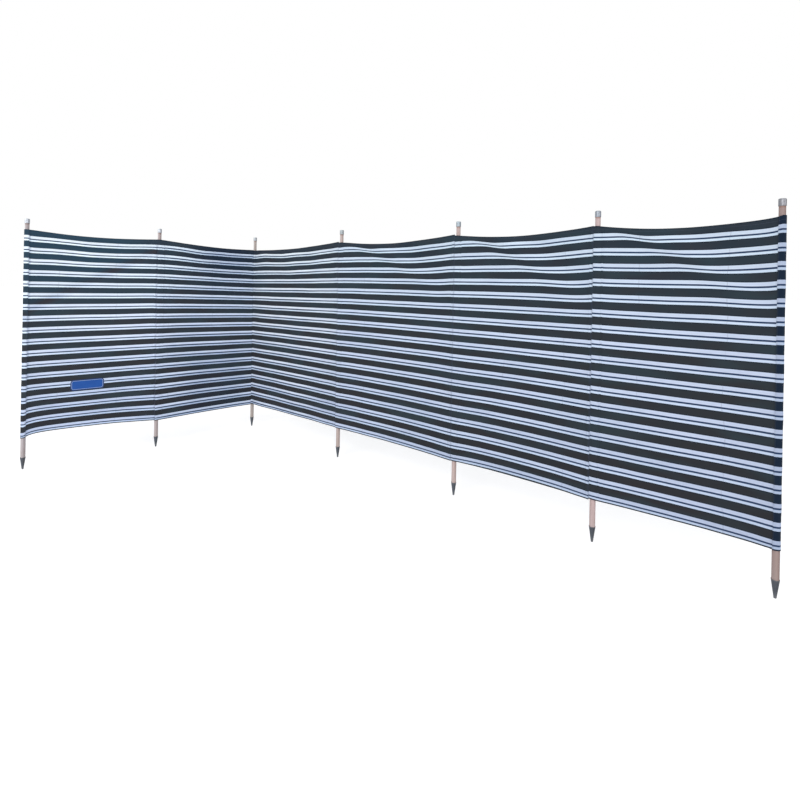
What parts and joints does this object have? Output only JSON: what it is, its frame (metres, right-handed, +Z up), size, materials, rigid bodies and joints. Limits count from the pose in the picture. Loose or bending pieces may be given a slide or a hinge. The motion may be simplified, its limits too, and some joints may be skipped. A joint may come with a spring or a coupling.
{
  "type": "beach windbreak",
  "caption": "Beach windbreak: striped cloth panels stretched between wooden poles that stand in the ground, set out in an L, with metal caps and steel points.",
  "frame": {"origin": "centre of the blunt foot of the corner pole, at the level that all seven feet stand on", "axes": "+Z up along the poles; +X along the windbreak's longest side, from its first pole towards its last; +Y away from the sheltered side"},
  "size_m": [3.3843, 1.9561, 1.372],
  "materials": {
    "wood": "bare pale turned wood",
    "zinc": "bright zinc plate",
    "point_steel": "dark pressed steel, lightly worn",
    "striped_cloth": "woven, charcoal and pale blue stripes with a fine dark line"
  },
  "bodies": {
    "root": {"pole_1": "wood", "pole_2": "wood", "pole_3": "wood", "pole_4": "wood", "pole_5": "wood", "pole_6": "wood", "pole_7": "wood", "cap_1": "zinc", "cap_2": "zinc", "cap_3": "zinc", "cap_4": "zinc", "cap_5": "zinc", "cap_6": "zinc", "cap_7": "zinc", "point_1": "point_steel", "point_2": "point_steel", "point_3": "point_steel", "point_4": "point_steel", "point_5": "point_steel", "point_6": "point_steel", "point_7": "point_steel", "sleeve_1": "striped_cloth", "sleeve_2": "striped_cloth", "sleeve_3": "striped_cloth", "sleeve_4": "striped_cloth", "sleeve_5": "striped_cloth", "sleeve_6": "striped_cloth", "sleeve_7": "striped_cloth", "panel_1": "striped_cloth", "panel_2": "striped_cloth", "panel_3": "striped_cloth", "panel_4": "striped_cloth", "panel_5": "striped_cloth", "panel_6": "striped_cloth"}
  },
  "joints": []
}
